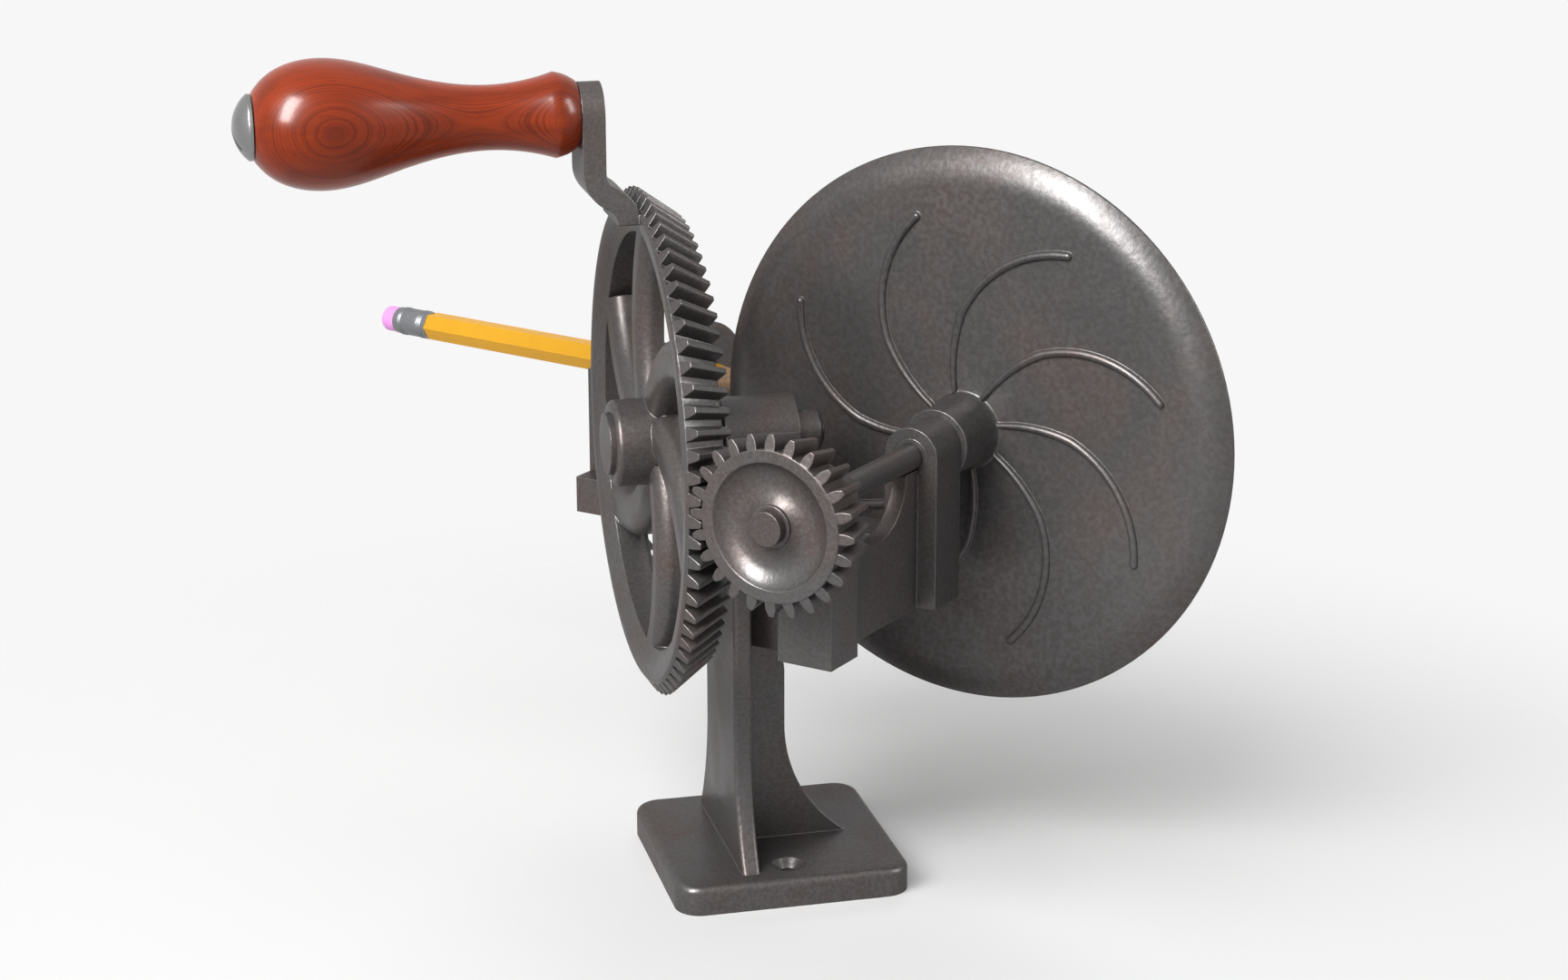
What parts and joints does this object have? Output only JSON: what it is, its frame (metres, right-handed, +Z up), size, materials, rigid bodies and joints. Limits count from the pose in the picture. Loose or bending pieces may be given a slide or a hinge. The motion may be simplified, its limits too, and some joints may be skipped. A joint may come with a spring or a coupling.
{
  "type": "crank pencil sharpener",
  "caption": "Hand-cranked bevel-gear pencil sharpener: a spoked crank gear spins a pinion and abrasive disc, with a pencil in a guide, on a screw-down pedestal.",
  "frame": {"origin": "centre of the base plate's underside", "axes": "+Z up; X along the crank axle, with the handle on the -X side; +Y away from the front, towards the pencil guide"},
  "size_m": [0.2455, 0.2626, 0.2282],
  "materials": {
    "iron": "japanned, worn semi-gloss",
    "steel": "satin",
    "handle_wood": "varnished",
    "abrasive": "gritty",
    "pencil_paint": "gloss lacquer",
    "graphite": "matte",
    "ferrule_metal": "satin",
    "eraser_rubber": "matte"
  },
  "bodies": {
    "stand": {"stand": "iron", "bearing_frame": "iron", "frame_screws": "steel", "axle_bush": "steel", "front_shaft_bush": "steel", "rear_shaft_bush": "steel", "pencil_guide": "iron", "guide_screws": "steel"},
    "crank": {"crank_gear": "iron", "gear_axle": "steel", "axle_pin": "steel", "axle_washer": "steel", "axle_collar": "steel", "collar_pin": "steel", "handle_spindle": "steel", "handle_cap": "steel"},
    "grip": {"handle_grip": "handle_wood"},
    "wheel": {"bevel_pinion": "iron", "disc_shaft": "steel", "pinion_pin": "steel", "grinding_disc": "iron", "disc_pin": "steel", "abrasive_paper": "abrasive", "clamp_washer": "steel", "clamp_nut": "steel"},
    "pencil": {"pencil_barrel": "pencil_paint", "pencil_lead": "graphite", "pencil_ferrule": "ferrule_metal", "pencil_eraser": "eraser_rubber"}
  },
  "joints": [
    {"name": "crank_turn", "type": "hinge", "parent": "stand", "child": "crank", "pos_m": [0, 0, 0.1236], "axis": [1, 0, 0], "continuous": true},
    {"name": "wheel_spin", "type": "hinge", "parent": "stand", "child": "wheel", "pos_m": [0.0617, 0, 0.1236], "axis": [0.7071, 0.7071, 0], "continuous": true},
    {"name": "grip_spin", "type": "hinge", "parent": "crank", "child": "grip", "pos_m": [0, 0, 0.21159], "axis": [1, 0, 0], "continuous": true},
    {"name": "pencil_slide", "type": "slide", "parent": "stand", "child": "pencil", "axis": [-0.5947, 0.8036, -0.0227], "range_m": [0, 0.175]}
  ],
  "couplings": [
    {"joint": "wheel_spin", "follows": "crank_turn", "ratio": -3.0833}
  ]
}
